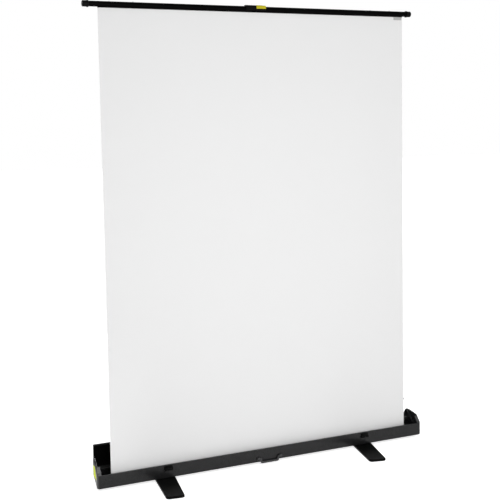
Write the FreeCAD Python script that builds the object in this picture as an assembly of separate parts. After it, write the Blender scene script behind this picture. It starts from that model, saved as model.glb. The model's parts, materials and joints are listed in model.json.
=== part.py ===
import FreeCAD, Part
import math
import os

V = FreeCAD.Vector

# Pull-up screen, standing open. Millimetres, +Z up, floor at z = 0.
# X runs along the case, the viewer stands at -Y, the feet turn about y = 0.

# Screen sheet
SHEET_WIDTH = 1500.0
SHEET_THICKNESS = 0.6
SHEET_TOP_Z = 2065.0
SHEET_Y = -11.0
SHEET_WAIST = 1.0

# Top bar
BAR_RADIUS = 12.0
BAR_WALL = 1.5
BAR_PAST_SHEET = 30.0
BAR_LENGTH = SHEET_WIDTH + 2 * BAR_PAST_SHEET
BAR_SLOT = 3.0
MIDDLE_X = -10.0
HEM_DROP = 3.0
HEM_WIDTH = 7.0
HEM_ROUND = 0.8
HEM_BEAD_RADIUS = 2.4
HEM_BEAD_PLAY = 0.4
BAR_CAP_RADIUS = 13.5
BAR_CAP_LENGTH = 20.0
BAR_SPIGOT = 14.0
BAR_COLLAR_RADIUS = 15.2
BAR_COLLAR_WIDTH = 6.0
BAR_CAP_ROUND = 4.0

# Lift handle on the bar
GRIP_LENGTH = 99.0
GRIP_SHIFT = -14.0
GRIP_RISE = 4.5
GRIP_SKIN = 2.2
GRIP_SLOPE = 22.0
GRIP_FINGER_RADIUS = 7.0
GRIP_FINGER_COUNT = 4
GRIP_FINGER_DEPTH = 0.9
GRIP_FINGER_START = 12.0
GRIP_FINGER_OVERLAP = 3.0
GRIP_SKIRT = 6.0
GRIP_SKIRT_ROUND = 1.5
GRIP_ROUND = 8.0

# Folding frame
PIVOT_IN_FROM_EDGE = 113.0
PIVOT_SPREAD = SHEET_WIDTH / 2 - PIVOT_IN_FROM_EDGE
ELBOW_PAST_MIDDLE = 27.0
ARM_WIDTH = 24.0
ARM_THICKNESS = 8.0
ARM_WALL = 1.5
ARM_ROUND = 2.5
ARM_GAP = 2.5
ARM_PLUG = 32.0
ARM_END_LENGTH = 30.0
ARM_PLUG_PLAY = 0.6
ARM_STACK_Y = 18.75
BASE_PIVOT_Z = 42.0
BAR_PIVOT_DROP = 20.0
PIN_RADIUS = 4.0
PIN_HEAD_RADIUS = 8.0
PIN_HEAD = 1.5
RIVET_TAIL = 1.0
ELBOW_WASHER_IN = 1.0
RUN = 0.05
SIDE_PLAY = 0.25

# Brackets of the folding frame
CHEEK = 2.0
CHEEK_RADIUS = 10.0
BASE_PLATE = 2.5
BASE_PLATE_HALF = 26.0
BASE_PLATE_CORNER = 3.0
SADDLE_LENGTH = 126.0
SADDLE_HALF_HEIGHT = 6.0
SADDLE_START = 2.0
SADDLE_LIP = 3.0
SADDLE_LIP_ROUND = 3.0
SADDLE_ROUND = 12.0
SADDLE_SCREW_SPREAD = 52.5
SADDLE_SCREW_RADIUS = 4.0
SADDLE_SCREW_HEAD = 2.4
SADDLE_SCREW_SINK = 0.8
SADDLE_SCREW_ROUND = 1.2

# Lift springs at the lower pivots
SPRING_WIRE = 1.2
SPRING_RADIUS = 7.3
SPRING_TURNS = 4.5
SPRING_PITCH = 2.95
SPRING_BUSH = 5.4

# Case
TRAY_PAST_SHEET = 53.0
TRAY_LENGTH = SHEET_WIDTH + 2 * TRAY_PAST_SHEET
CASE_FLOOR_Z = 12.5
CASE_FRONT_ROOM = 10.1
CASE_REAR_ROOM = 12.5
METAL_THICKNESS = 2.0
PANEL_TOP_Z = 71.0
PANEL_CROWN = 1.5
PANEL_OVER_CAP = 12.0
PANEL_LENGTH = TRAY_LENGTH + 2 * PANEL_OVER_CAP
PANEL_LIP = 7.0
PANEL_DEPTH = 3.0
PANEL_SOFT = 0.7
TRAY_FRONT_RISE = 18.0
TRAY_REAR_TOP_Z = 76.0
TRAY_CORNER = 10.0
TRAY_FRONT_CORNER = 3.0
TRAY_LIP_ROUND = 0.8
SCREW_PORT_RADIUS = 4.2
SCREW_BORE_RADIUS = 1.8
SCREW_PORT_SINK = 0.6

# End caps
CAP_LENGTH = 19.0
CAP_NOSE_RISE = 5.0
CAP_SHOULDER_IN = 29.0
CAP_SHOULDER_Z = 108.0
CAP_PEAK_BEHIND = 1.0
CAP_PEAK_Z = 120.0
CAP_REAR_BEHIND = 20.0
CAP_REAR_TOP_Z = 95.0
CAP_REAR_FOOT_Z = 38.0
CAP_TOE_ROUND = 6.0
CAP_NOSE_ROUND = 16.0
CAP_SHOULDER_ROUND = 9.0
CAP_PEAK_ROUND = 5.0
CAP_REAR_ROUND = 6.0
CAP_HEEL_ROUND = 12.0
CAP_TAPER_DEPTH = 56.0
CAP_REAR_FOOT = 26.0
CAP_TAPER = 16.0
CAP_UNDERCUT_RUN = 96.0
CAP_UNDERCUT_RISE = 70.0
CAP_EDGE = 4.0
CAP_POCKET = 14.0
CAP_GUIDE = 8.0
CAP_WALL = 3.0
CAP_SEAM = 0.5
CAP_BAY_RISE = 12.0
CAP_BAY_DROP = 6.0
CAP_BAY_CORNER = 3.0
CRADLE_CLEARANCE = 1.0
CRADLE_CORNER = 8.0
GUIDE_CORNER = 6.0
CAP_SCREW_RADIUS = 4.0
CAP_SCREW_HEAD = 2.0

# Lid
LID_END_GAP = 2.0
LID_LENGTH = TRAY_LENGTH - 2 * LID_END_GAP
LID_HINGE_OUT = 4.5
LID_HINGE_Z = 72.0
LID_REAR_TOP_Z = 108.0
LID_FRONT_TOP_Z = 104.0
LID_SET_BACK = 9.0
LID_LIP_Z = 75.0
LID_WALL = 2.0
LID_ROUND = 7.0
LID_BEAD = 4.0
LID_EDGE_ROUND = 0.6
LID_OPEN = 90.0
HINGE_END_GAP = 6.0
HINGE_LENGTH = LID_LENGTH - 2 * HINGE_END_GAP
HINGE_KNUCKLES = 21
HINGE_LEAF = 2.0
HINGE_LEAF_REACH = 24.0
KNUCKLE_RADIUS = 4.1
KNUCKLE_GAP = 0.3
KEEPER_RISE = 4.0
KEEPER_HEIGHT = 14.0
KEEPER_PLATE = 1.2
KEEPER_NIB = 4.0
KEEPER_ROUND = 1.0
HINGE_PIN_RADIUS = 1.75

# Lid latches
LATCH_IN_FROM_END = 303.0
LATCH_X = TRAY_LENGTH / 2 - LATCH_IN_FROM_END
LATCH_WIDTH = 32.0
LATCH_THICKNESS = 3.6
LATCH_PIVOT_Z = 49.0
LATCH_HEIGHT = 21.0
LATCH_STANDOFF = 3.6
LATCH_EAR = 4.0
LATCH_PIN_RADIUS = 1.3
LATCH_PLAY = 0.4
LATCH_PLATE = 1.0
LATCH_PLATE_DROP = 4.0
LATCH_PLATE_RISE = 16.0
LATCH_EAR_PROUD = 0.6
LATCH_EAR_RISE = 4.0
LATCH_EAR_SLOPE = 8.0
LATCH_EAR_ROUND = 2.0
LATCH_LIP = 4.0
LATCH_LIP_OUT = 2.2
LATCH_LIP_ROUND = 3.0
LATCH_TIP_ROUND = 0.8
LATCH_DIP = 0.8
LATCH_DIP_RADIUS = 9.0

# Carry handle
CARRY_X = -8.0
CARRY_SPAN = 100.0
CARRY_GRIP = 90.0
CARRY_DROP = 23.0
CARRY_BAR = 9.0
CARRY_THICKNESS = 6.0
CARRY_PIVOT_Z = 30.0
CARRY_STANDOFF = 4.2
CARRY_LUG = 12.0
CARRY_LUG_HEIGHT = 16.0
CARRY_LUG_PROUD = 1.0
CARRY_LUG_DRAFT = 3.0
CARRY_LUG_ROUND = 2.5
CARRY_OUTER_ROUND = 7.0
CARRY_INNER_ROUND = 3.0
CARRY_PIN_RADIUS = 2.2

# Feet
FOOT_IN_FROM_END = 298.0
FOOT_X = TRAY_LENGTH / 2 - FOOT_IN_FROM_END
FOOT_HALF_LENGTH = 268.0
FOOT_WIDTH = 92.0
FOOT_TIP_WIDTH = 80.0
FOOT_CORNER = 16.0
FOOT_FLANK = 400.0
FOOT_HUB = 40.0
FOOT_HOLLOW = 3.0
FOOT_HOLLOW_CORNER = 8.0
FOOT_ANGLE_LEFT = 8.0
FOOT_ANGLE_RIGHT = 12.0
FOOT_BOTTOM_Z = 1.5
FOOT_TOP_Z = 11.5
FOOT_EDGE = 4.0
PAD_LENGTH = 26.0
PAD_WIDTH = 58.0
PAD_INSET = 34.0
PAD_CORNER = 6.0
BOLT_RADIUS = 5.0
BOLT_HEAD_RADIUS = 9.0
BOLT_HEAD = 3.5
BOLT_RECESS = 4.5
BOLT_RECESS_PLAY = 1.0
BOLT_PAST_NUT = 2.0
WASHER_RADIUS = 14.0
NUT_RADIUS = 8.5
NUT_HEIGHT = 5.0
BOLT_PLAY = 0.1

# Roller
ROLLER_PAST_SHEET = 5.0
ROLLER_LENGTH = SHEET_WIDTH + 2 * ROLLER_PAST_SHEET
ROLLER_RADIUS = 13.0
ROLLER_WALL = 1.5
ROLLER_Z = 40.0
WRAP_THICKNESS = 1.6
SHEET_TO_WRAP = 0.3
PLUG_LENGTH = 20.0
PLUG_FLANGE = 2.0
AXLE_RADIUS = 5.0
ARBOR_LENGTH = 150.0
IDLER_LENGTH = 36.0
ROLLER_BRACKET_GAP = 12.0
ROLLER_BRACKET = 3.0
ROLLER_BRACKET_WIDTH = 22.0
ROLLER_BRACKET_FOOT = 14.0
CLOCK_SPRING_START = 4.0
CLOCK_SPRING_WIRE = 1.0
CLOCK_SPRING_PLAY = 0.3
CLOCK_SPRING_TURNS = 12
CLOCK_SPRING_PITCH = 8.0

# Bar lying in its cradles
STOWED_BAR_PLAY = 2.5

# Values worked out from the ones above
FLOOR_TOP = CASE_FLOOR_Z + METAL_THICKNESS
BAR_Z = SHEET_TOP_Z + HEM_DROP + BAR_RADIUS
BAR_PIVOT_Z = BAR_Z - BAR_PIVOT_DROP
ARM_RISE = (BAR_PIVOT_Z - BASE_PIVOT_Z) / 2
ELBOW_RUN = PIVOT_SPREAD + ELBOW_PAST_MIDDLE
ARM_REACH = math.hypot(ARM_RISE, ELBOW_RUN)
ARM_ANGLE = math.degrees(math.atan2(ARM_RISE, ELBOW_RUN))
ARM_PITCH = ARM_THICKNESS + ARM_GAP
LOWER_Y = ARM_STACK_Y - 1.5 * ARM_PITCH
UPPER_Y = ARM_STACK_Y - 0.5 * ARM_PITCH
PIVOT_X = MIDDLE_X - PIVOT_SPREAD
WRAP_RADIUS = ROLLER_RADIUS + RUN + WRAP_THICKNESS
ROLLER_Y = SHEET_Y - SHEET_THICKNESS / 2 - SHEET_TO_WRAP - WRAP_RADIUS
FRONT_Y = ROLLER_Y - WRAP_RADIUS - CASE_FRONT_ROOM
REAR_Y = ARM_STACK_Y + 1.5 * ARM_PITCH + ARM_THICKNESS / 2 + CASE_REAR_ROOM
CAP_NOSE_Z = PANEL_TOP_Z + CAP_NOSE_RISE
CAP_SHOULDER_Y = FRONT_Y + CAP_SHOULDER_IN
CAP_PEAK_Y = REAR_Y + CAP_PEAK_BEHIND
CAP_REAR_Y = REAR_Y + CAP_REAR_BEHIND
CAP_TAPER_Y = CAP_REAR_Y - CAP_TAPER_DEPTH
CAP_INNER_X = TRAY_LENGTH / 2
CAP_OUTER_X = CAP_INNER_X + CAP_LENGTH
LID_HINGE_Y = REAR_Y + LID_HINGE_OUT
LID_FRONT_Y = FRONT_Y + LID_SET_BACK
STOWED_BAR_Z = LID_FRONT_TOP_Z - LID_WALL - BAR_COLLAR_RADIUS - STOWED_BAR_PLAY


def at(plane, a, b, c=0.0):
    """Point from two in-plane values and the one across the plane."""
    if plane == "yz":
        return V(c, a, b)
    if plane == "xz":
        return V(a, c, b)
    return V(a, b, c)


def outline(plane, corners, level=0.0):
    """Closed wire from (a, b, radius) corners, each rounded by an arc."""
    points = [at(plane, a, b, level) for a, b, _ in corners]
    edges = []
    ends = []
    for i, (_, _, radius) in enumerate(corners):
        here = points[i]
        back = (points[i - 1] - here).normalize()
        ahead = (points[(i + 1) % len(points)] - here).normalize()
        if radius <= 0:
            ends.append((here, None, here))
            continue
        half = back.getAngle(ahead) / 2
        setback = radius / math.tan(half)
        middle = (back + ahead).normalize() * (radius / math.sin(half) - radius)
        ends.append((here + back * setback, here + middle, here + ahead * setback))
    for i, (start, middle, end) in enumerate(ends):
        if middle is not None:
            edges.append(Part.Arc(start, middle, end).toShape())
        following = ends[(i + 1) % len(ends)][0]
        if (following - end).Length > 1e-6:
            edges.append(Part.LineSegment(end, following).toShape())
    return Part.Wire(edges)


def prism(plane, corners, low, high):
    """Rounded outline pushed from one level to another across its plane."""
    face = Part.Face(outline(plane, corners, low))
    push = at(plane, 0.0, 0.0, high - low)
    return face.extrude(push)


def block(x0, x1, y0, y1, z0, z1):
    return Part.makeBox(x1 - x0, y1 - y0, z1 - z0, V(x0, y0, z0))


def rod(radius, start, end):
    path = end - start
    return Part.makeCylinder(radius, path.Length, start, path)


def ring(outer, inner, start, end):
    return rod(outer, start, end).cut(rod(inner, start, end))


def mirrored(shape):
    """The same piece on the other end of the case."""
    return shape.mirror(V(0, 0, 0), V(1, 0, 0))


def turned_half(shape):
    """Right-hand side of the folding frame: the left one turned half round."""
    other = shape.copy()
    other.rotate(V(MIDDLE_X, ARM_STACK_Y, 0), V(0, 0, 1), 180)
    return other


def edges_at(shape, test):
    return [edge for edge in shape.Edges if test(edge.BoundBox)]


def biarc(start, heading, end, arriving):
    """Two arcs that join two points with the given directions."""
    chord = end - start
    total = heading + arriving
    spread = 2 * (1 - heading.dot(arriving))
    along = chord.dot(total)
    reach = (math.sqrt(along ** 2 + spread * chord.dot(chord)) - along) / spread
    middle = (start + heading * reach + end - arriving * reach) * 0.5
    return [arc_from(start, heading, middle), arc_from(end, arriving * -1, middle).reversed()]


def arc_from(start, heading, end):
    chord = end - start
    unit = V(chord).normalize()
    bow = heading - unit * heading.dot(unit)
    angle = heading.getAngle(chord)
    sagitta = chord.Length / 2 * math.tan(angle / 2)
    return Part.Arc(start, start + chord * 0.5 + bow.normalize() * sagitta, end).toShape()


def coil(centre, radius, wire, turns, pitch):
    """Spring wound about +Y, as one unbroken wire with straight ends."""
    steps = int(round(turns * 4))
    climb = pitch / (2 * math.pi)
    lean = math.hypot(radius, climb)

    def place(step):
        angle = step * math.pi / 2
        return centre + V(radius * math.cos(angle), climb * angle, radius * math.sin(angle))

    def direction(step):
        angle = step * math.pi / 2
        return V(-radius * math.sin(angle), climb, radius * math.cos(angle)) * (1 / lean)

    first = place(0)
    last = place(steps)
    tail = 2 * wire
    edges = [Part.LineSegment(first - direction(0) * tail, first).toShape()]
    for step in range(steps):
        edges += biarc(place(step), direction(step), place(step + 1), direction(step + 1))
    edges.append(Part.LineSegment(last, last + direction(steps) * tail).toShape())
    path = Part.Wire(edges)
    section = Part.Wire(Part.makeCircle(wire, first - direction(0) * tail, direction(0)))
    print("coil gap between turns", round(pitch - 2 * wire, 2))
    return path.makePipeShell([section], True, False)


# Case


def base_tray():
    """Folded tray: floor, rear wall, low front upstand and two screw ports."""
    half = TRAY_LENGTH / 2
    wall = METAL_THICKNESS
    front = FRONT_Y + PANEL_DEPTH
    inner_corner = TRAY_CORNER - wall
    corners = [
        (front, CASE_FLOOR_Z, TRAY_FRONT_CORNER),
        (REAR_Y, CASE_FLOOR_Z, TRAY_CORNER),
        (REAR_Y, TRAY_REAR_TOP_Z, TRAY_LIP_ROUND),
        (REAR_Y - wall, TRAY_REAR_TOP_Z, TRAY_LIP_ROUND),
        (REAR_Y - wall, FLOOR_TOP, inner_corner),
        (front + wall, FLOOR_TOP, TRAY_FRONT_CORNER - wall),
        (front + wall, FLOOR_TOP + TRAY_FRONT_RISE, TRAY_LIP_ROUND),
        (front, FLOOR_TOP + TRAY_FRONT_RISE, TRAY_LIP_ROUND),
    ]
    tray = prism("yz", corners, -half, half)
    for y, z in screw_ports():
        port = ring(SCREW_PORT_RADIUS, SCREW_BORE_RADIUS, V(-half, y, z), V(half, y, z))
        tray = tray.fuse(port).cut(rod(SCREW_BORE_RADIUS, V(-half, y, z), V(half, y, z)))
    for side in (-1, 1):
        hole = rod(BOLT_RADIUS + RUN, V(side * FOOT_X, 0, 0), V(side * FOOT_X, 0, 2 * FLOOR_TOP))
        tray = tray.cut(hole)
    return tray.removeSplitter()


def screw_ports():
    """Centres of the screw ports that the end caps are screwed into."""
    low = FLOOR_TOP + SCREW_PORT_RADIUS - SCREW_PORT_SINK
    inside = REAR_Y - METAL_THICKNESS - SCREW_PORT_RADIUS + SCREW_PORT_SINK
    front = FRONT_Y + PANEL_DEPTH + METAL_THICKNESS + SCREW_PORT_RADIUS - SCREW_PORT_SINK
    return [(front, low), (inside, TRAY_REAR_TOP_Z - 2 * SCREW_PORT_RADIUS)]


def front_panel():
    """Crowned fascia over tray and caps, with a lip turned in along its top edge."""
    half = PANEL_LENGTH / 2
    edge_y = FRONT_Y + PANEL_CROWN
    inner_y = FRONT_Y + PANEL_DEPTH
    middle_z = (CASE_FLOOR_Z + PANEL_TOP_Z) / 2
    soft = PANEL_SOFT
    chain = [
        V(-half, edge_y, PANEL_TOP_Z - soft), V(-half, edge_y + soft, PANEL_TOP_Z),
        V(-half, inner_y, PANEL_TOP_Z), V(-half, inner_y, CASE_FLOOR_Z),
        V(-half, edge_y + soft, CASE_FLOOR_Z), V(-half, edge_y, CASE_FLOOR_Z + soft),
    ]
    edges = [Part.LineSegment(a, b).toShape() for a, b in zip(chain, chain[1:])]
    edges.append(Part.Arc(chain[-1], V(-half, FRONT_Y, middle_z), chain[0]).toShape())
    skin = Part.Face(Part.Wire(edges)).extrude(V(2 * half, 0, 0))
    lip = block(-TRAY_LENGTH / 2, TRAY_LENGTH / 2, inner_y - soft, inner_y + PANEL_LIP,
                PANEL_TOP_Z - METAL_THICKNESS, PANEL_TOP_Z)
    return skin.fuse(lip).removeSplitter()


def cap_corners():
    """Side outline of an end cap: curved nose, roof up to a peak, cut-away rear."""
    return [
        (FRONT_Y, CASE_FLOOR_Z, CAP_TOE_ROUND),
        (FRONT_Y, CAP_NOSE_Z, CAP_NOSE_ROUND),
        (CAP_SHOULDER_Y, CAP_SHOULDER_Z, CAP_SHOULDER_ROUND),
        (CAP_PEAK_Y, CAP_PEAK_Z, CAP_PEAK_ROUND),
        (CAP_REAR_Y, CAP_REAR_TOP_Z, CAP_REAR_ROUND),
        (CAP_REAR_Y, CAP_REAR_FOOT_Z, CAP_HEEL_ROUND),
        (CAP_REAR_Y - CAP_REAR_FOOT, CASE_FLOOR_Z, CAP_HEEL_ROUND),
    ]


def cap_skin(y):
    """How far the outside of a cap has come in at a place along its depth."""
    return CAP_TAPER * max(0.0, y - CAP_TAPER_Y) / CAP_TAPER_DEPTH


def cap_undercut():
    """What the sloping plane takes off the lower rear corner of the left cap."""
    corners = []
    for y, z in ((FRONT_Y - 9.0, 0.0), (CAP_REAR_Y + 9.0, 0.0),
                 (CAP_REAR_Y + 9.0, CAP_PEAK_Z + 9.0), (FRONT_Y - 9.0, CAP_PEAK_Z + 9.0)):
        back = (y - FRONT_Y - CAP_EDGE) / CAP_UNDERCUT_RUN
        up = (z - CASE_FLOOR_Z) / CAP_UNDERCUT_RISE
        corners.append(V(-CAP_OUTER_X + CAP_LENGTH * (back - up), y, z))
    face = Part.Face(Part.makePolygon(corners + corners[:1]))
    return face.extrude(V(-4 * CAP_LENGTH, 0, 0))


def end_cap():
    """Left end cap: tapered to the rear, bevelled, ribbed inside, with a cradle for the bar end."""
    inner = -CAP_INNER_X
    outer = -CAP_OUTER_X
    cap = prism("yz", cap_corners(), outer, inner)
    rim = edges_at(cap, lambda b: abs(b.XMin - outer) < 0.01 and abs(b.XMax - outer) < 0.01)
    cap = cap.makeChamfer(CAP_EDGE, CAP_EDGE, rim)
    past = CAP_REAR_Y + 5.0
    wedge = prism("xy", [
        (outer - 1.0, CAP_TAPER_Y, 0.0), (outer, CAP_TAPER_Y, 0.0),
        (outer + cap_skin(past), past, 0.0), (outer - 1.0, past, 0.0),
    ], 0.0, CAP_PEAK_Z + 5.0)
    recess = block(-PANEL_LENGTH / 2 - RUN, inner + 1.0, FRONT_Y - 1.0, FRONT_Y + PANEL_DEPTH,
                   CASE_FLOOR_Z - 1.0, PANEL_TOP_Z + CAP_SEAM)
    cap = cap.cut([wedge, cap_undercut(), recess])
    top = CAP_PEAK_Z + 5.0
    seat = BAR_COLLAR_RADIUS + CRADLE_CLEARANCE
    front = SHEET_Y - seat
    back = SHEET_Y + seat
    floor = STOWED_BAR_Z - seat
    start = SHEET_Y - seat + seat * math.sqrt(2)
    guide = prism("yz", [
        (front, top, 0.0), (front, floor, CRADLE_CORNER),
        (start, floor, GUIDE_CORNER), (start + top - floor, top, 0.0),
    ], inner - CAP_GUIDE, inner + 1.0)
    cradle = prism("yz", [
        (front, top, 0.0), (front, floor, CRADLE_CORNER), (back, floor, CRADLE_CORNER), (back, top, 0.0),
    ], inner - CAP_POCKET, inner + 1.0)
    cap = cap.cut(guide).cut(cradle)
    deep = inner - CAP_POCKET + CAP_WALL
    low = CASE_FLOOR_Z + CAP_BAY_RISE
    high = floor - CAP_BAY_DROP
    for y0, y1 in cap_bays():
        bay = prism("yz", [
            (y0, low, CAP_BAY_CORNER), (y1, low, CAP_BAY_CORNER),
            (y1, high, CAP_BAY_CORNER), (y0, high, CAP_BAY_CORNER),
        ], deep, inner + 1.0)
        cap = cap.cut(bay)
    for y, z in screw_ports():
        cap = cap.cut(rod(SCREW_BORE_RADIUS, V(outer - 1, y, z), V(inner + 1, y, z)))
        cap = cap.cut(rod(CAP_SCREW_RADIUS + RUN, V(outer - 1, y, z), V(outer + cap_screw_depth(y), y, z)))
    return cap


def cap_bays():
    """Moulded bays between the ribs on the inside of an end cap."""
    ribs = 3
    start = FRONT_Y + PANEL_DEPTH + METAL_THICKNESS + 2 * SCREW_PORT_RADIUS + CAP_WALL
    stop = REAR_Y - 2 * SCREW_PORT_RADIUS - 2 * CAP_WALL
    pitch = (stop - start + CAP_WALL) / ribs
    return [(start + i * pitch, start + (i + 1) * pitch - CAP_WALL) for i in range(ribs)]


def cap_screw_depth(y):
    return cap_skin(y) + CAP_SCREW_HEAD + 1.0


def end_cap_screws():
    screws = []
    for y, z in screw_ports():
        seat = -CAP_OUTER_X + cap_screw_depth(y)
        head = rod(CAP_SCREW_RADIUS, V(seat - CAP_SCREW_HEAD, y, z), V(seat, y, z))
        shank = rod(SCREW_BORE_RADIUS - RUN, V(seat, y, z), V(-CAP_INNER_X + CAP_LENGTH, y, z))
        screw = head.fuse(shank)
        screws += [screw, mirrored(screw)]
    return screws


# Lid


def opened(shape):
    """A piece drawn on the closed lid, swung open about the lid hinge."""
    swung = shape.copy()
    swung.rotate(V(0, LID_HINGE_Y, LID_HINGE_Z), V(1, 0, 0), -LID_OPEN)
    return swung


def lid():
    """Hood with a rear flange, a sloping top and a front lip that ends in a bead."""
    half = LID_LENGTH / 2
    wall = LID_WALL
    low = LID_HINGE_Z + LID_HINGE_OUT
    corners = [
        (REAR_Y, low, LID_EDGE_ROUND),
        (REAR_Y, LID_REAR_TOP_Z, LID_ROUND),
        (LID_FRONT_Y, LID_FRONT_TOP_Z, LID_ROUND),
        (LID_FRONT_Y, LID_LIP_Z, LID_EDGE_ROUND),
        (LID_FRONT_Y + LID_BEAD, LID_LIP_Z, LID_EDGE_ROUND),
        (LID_FRONT_Y + LID_BEAD, LID_LIP_Z + wall, 0.0),
        (LID_FRONT_Y + wall, LID_LIP_Z + wall, 0.0),
        (LID_FRONT_Y + wall, LID_FRONT_TOP_Z - wall, LID_ROUND - wall),
        (REAR_Y - wall, LID_REAR_TOP_Z - wall, LID_ROUND - wall),
        (REAR_Y - wall, low, LID_EDGE_ROUND),
    ]
    return opened(prism("yz", corners, -half, half))


def lid_keepers():
    """Catch plates on the front lip, where the latches hook on."""
    keepers = []
    for side in (-1, 1):
        x = side * LATCH_X
        low = LID_LIP_Z + KEEPER_RISE
        top = low + KEEPER_HEIGHT
        plate = prism("yz", [
            (LID_FRONT_Y, low, 0.0), (LID_FRONT_Y, top, 0.0), (LID_FRONT_Y - KEEPER_PLATE, top, 0.0),
            (LID_FRONT_Y - KEEPER_NIB, low + 0.35 * KEEPER_HEIGHT, KEEPER_ROUND),
            (LID_FRONT_Y - KEEPER_PLATE, low, 0.0),
        ], x - LATCH_WIDTH / 2, x + LATCH_WIDTH / 2)
        keepers.append(opened(plate))
    return keepers


def hinge_axis(start, end):
    return V(start, LID_HINGE_Y, LID_HINGE_Z), V(end, LID_HINGE_Y, LID_HINGE_Z)


def hinge_spans():
    """Knuckles along the long hinge, taken in turn by the case leaf and the lid leaf."""
    pitch = HINGE_LENGTH / HINGE_KNUCKLES
    starts = [-HINGE_LENGTH / 2 + i * pitch for i in range(HINGE_KNUCKLES)]
    return [(a + SIDE_PLAY, a + pitch - SIDE_PLAY) for a in starts]


def hinge_leaf(spans):
    """Case leaf: a plate on the rear wall with a web and a bored knuckle at each span."""
    half = HINGE_LENGTH / 2
    low = LID_HINGE_Z - HINGE_LEAF_REACH
    high = LID_HINGE_Z - KNUCKLE_RADIUS - KNUCKLE_GAP
    leaf = block(-half, half, REAR_Y, REAR_Y + HINGE_LEAF, low, high)
    pieces = []
    for a, b in spans:
        pieces.append(block(a, b, REAR_Y, REAR_Y + HINGE_LEAF, high - 1.0, LID_HINGE_Z))
        pieces.append(block(a, b, REAR_Y, LID_HINGE_Y, LID_HINGE_Z - HINGE_LEAF, LID_HINGE_Z))
        pieces.append(rod(KNUCKLE_RADIUS, *hinge_axis(a, b)))
    leaf = leaf.fuse(pieces).cut(rod(HINGE_PIN_RADIUS + RUN, *hinge_axis(-half - 1, half + 1)))
    return leaf.removeSplitter()


def lid_leaf(spans):
    """The other leaf, turned over onto the flange of the open lid."""
    return opened(hinge_leaf(spans).mirror(V(0, 0, LID_HINGE_Z), V(0, 0, 1)))


# Latches


def latch_axis(x, half):
    y = FRONT_Y - LATCH_STANDOFF
    return V(x - half, y, LATCH_PIVOT_Z), V(x + half, y, LATCH_PIVOT_Z)


def latch_flap(x):
    """Snap latch: a flap on a round hinge edge, with a thumb dip and a hook along its top."""
    half = LATCH_WIDTH / 2 - LATCH_PLAY
    y = FRONT_Y - LATCH_STANDOFF
    t = LATCH_THICKNESS / 2
    top = LATCH_PIVOT_Z + LATCH_HEIGHT
    flap = prism("yz", [
        (y - t, LATCH_PIVOT_Z, 0.0),
        (y - t, top - LATCH_LIP, LATCH_LIP_ROUND),
        (y - t - LATCH_LIP_OUT, top, LATCH_TIP_ROUND),
        (y + t, top, LATCH_TIP_ROUND),
        (y + t, LATCH_PIVOT_Z, 0.0),
    ], x - half, x + half)
    edge = rod(t, *latch_axis(x, half))
    level = LATCH_PIVOT_Z + 0.4 * LATCH_HEIGHT
    dip = y - t - LATCH_DIP_RADIUS + LATCH_DIP
    groove = rod(LATCH_DIP_RADIUS, V(x - half + LATCH_EAR, dip, level), V(x + half - LATCH_EAR, dip, level))
    flap = flap.fuse(edge).cut(groove)
    return flap.cut(rod(LATCH_PIN_RADIUS + RUN, *latch_axis(x, LATCH_WIDTH))).removeSplitter()


def latch_mount(x):
    """Plate on the fascia with an ear each side of the flap."""
    half = LATCH_WIDTH / 2
    y = FRONT_Y - LATCH_STANDOFF
    reach = LATCH_THICKNESS / 2 + LATCH_EAR_PROUD
    low = LATCH_PIVOT_Z - LATCH_PLATE_DROP
    high = LATCH_PIVOT_Z + LATCH_EAR_RISE
    plate = block(x - half - LATCH_EAR, x + half + LATCH_EAR, FRONT_Y - LATCH_PLATE,
                  FRONT_Y + PANEL_CROWN / 2, low, LATCH_PIVOT_Z + LATCH_PLATE_RISE)
    ears = []
    for a, b in ((-half - LATCH_EAR, -half), (half, half + LATCH_EAR)):
        ears.append(prism("yz", [
            (FRONT_Y, low, 0.0), (y - reach, low, LATCH_EAR_ROUND),
            (y - reach, high, LATCH_EAR_ROUND), (FRONT_Y, high + LATCH_EAR_SLOPE, 0.0),
        ], x + a, x + b))
    mount = plate.fuse(ears).cut(front_panel())
    return mount.cut(rod(LATCH_PIN_RADIUS + RUN, *latch_axis(x, LATCH_WIDTH)))


# Carry handle


def carry_axis(start, end):
    y = FRONT_Y - CARRY_STANDOFF
    return V(start, y, CARRY_PIVOT_Z), V(end, y, CARRY_PIVOT_Z)


def carry_handle():
    """Drop handle: two arms that lean in to a rounded grip, on round trunnions."""
    y = FRONT_Y - CARRY_STANDOFF
    t = CARRY_THICKNESS / 2
    top = CARRY_SPAN / 2
    low = CARRY_GRIP / 2
    bottom = CARRY_PIVOT_Z - CARRY_DROP
    arm = CARRY_BAR * 0.85
    outer = prism("xz", [
        (CARRY_X - top, CARRY_PIVOT_Z, 0.0), (CARRY_X + top, CARRY_PIVOT_Z, 0.0),
        (CARRY_X + low, bottom, CARRY_OUTER_ROUND), (CARRY_X - low, bottom, CARRY_OUTER_ROUND),
    ], y - t, y + t)
    inner = prism("xz", [
        (CARRY_X - top + arm, CARRY_PIVOT_Z + t, 0.0), (CARRY_X + top - arm, CARRY_PIVOT_Z + t, 0.0),
        (CARRY_X + low - arm, bottom + CARRY_BAR, CARRY_INNER_ROUND),
        (CARRY_X - low + arm, bottom + CARRY_BAR, CARRY_INNER_ROUND),
    ], y - t - 1, y + t + 1)
    handle = outer.cut(inner)
    for a, b in ((CARRY_X - top, CARRY_X - top + arm), (CARRY_X + top - arm, CARRY_X + top)):
        handle = handle.fuse(rod(t, *carry_axis(a, b)))
    pins = rod(CARRY_PIN_RADIUS, *carry_axis(CARRY_X - top - CARRY_LUG * 0.7, CARRY_X - top + 1.0))
    other = rod(CARRY_PIN_RADIUS, *carry_axis(CARRY_X + top - 1.0, CARRY_X + top + CARRY_LUG * 0.7))
    return handle.fuse([pins, other]).removeSplitter()


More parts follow.
